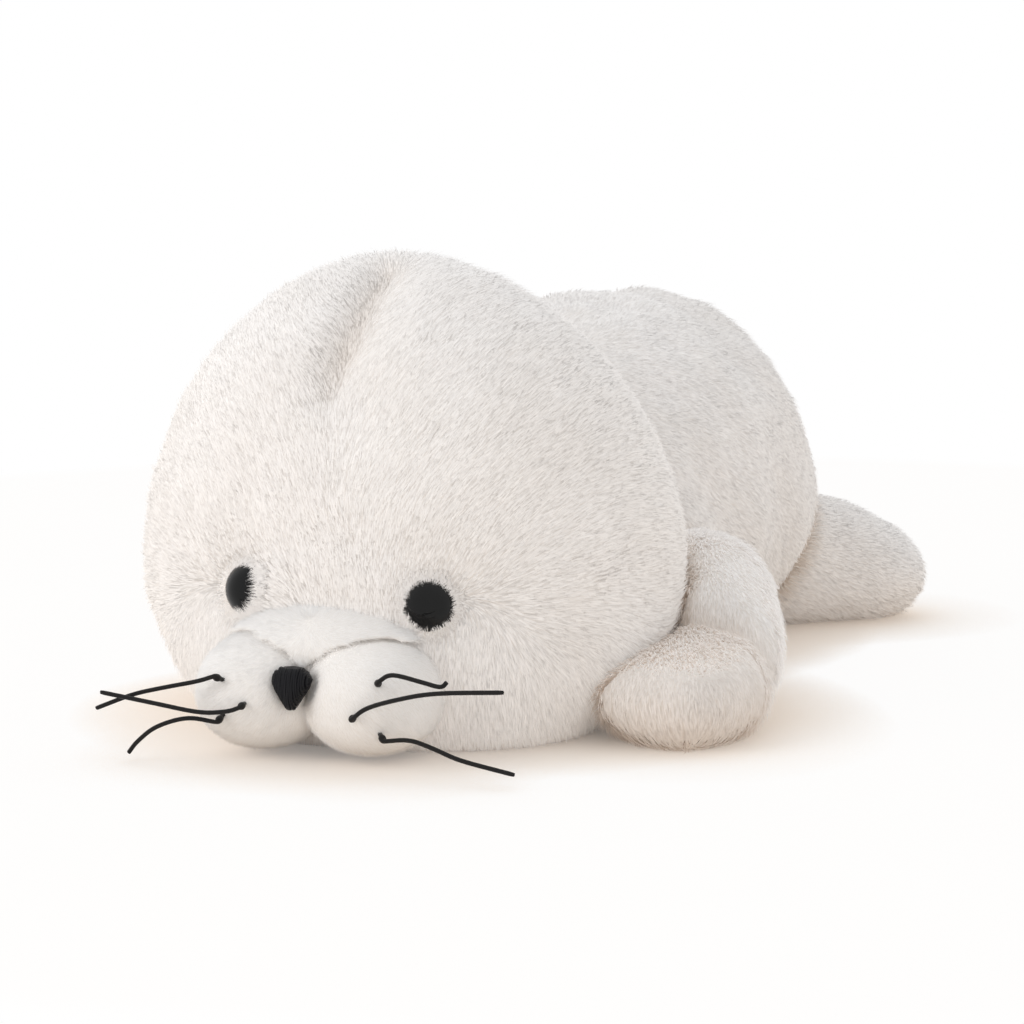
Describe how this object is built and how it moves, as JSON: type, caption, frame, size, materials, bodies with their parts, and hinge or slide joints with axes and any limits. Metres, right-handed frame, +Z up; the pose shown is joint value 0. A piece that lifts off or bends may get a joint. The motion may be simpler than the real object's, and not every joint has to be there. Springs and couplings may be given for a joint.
{
  "type": "plush seal",
  "caption": "Soft toy baby seal lying on its belly, with a large round head, short-piled muzzle, black eyes, stitched nose, waxed whiskers and stuffed flippers.",
  "frame": {"origin": "on the floor, under the middle of the seal's bounding box", "axes": "+Z up, the seal looks along -Y, +X towards its left side"},
  "size_m": [0.274, 0.3482, 0.1385],
  "materials": {
    "plush": "long off-white plush pile",
    "short_plush": "short brushed pile",
    "nose_thread": "satin-stitched black thread",
    "eye_plastic": "polished",
    "washer_plastic": "as moulded",
    "waxed_thread": "waxed thread"
  },
  "bodies": {
    "root": {"head": "plush", "body": "plush", "front_flipper_left": "plush", "front_flipper_right": "plush", "hind_flipper_left": "plush", "hind_flipper_right": "plush", "muzzle_pad_left": "short_plush", "muzzle_pad_right": "short_plush", "muzzle_bridge": "short_plush", "nose": "nose_thread", "eye_left": "eye_plastic", "eye_right": "eye_plastic", "eye_washer_left": "washer_plastic", "eye_washer_right": "washer_plastic", "whisker_left_upper": "waxed_thread", "whisker_left_middle": "waxed_thread", "whisker_left_lower": "waxed_thread", "whisker_right_upper": "waxed_thread", "whisker_right_middle": "waxed_thread", "whisker_right_lower": "waxed_thread"}
  },
  "joints": []
}
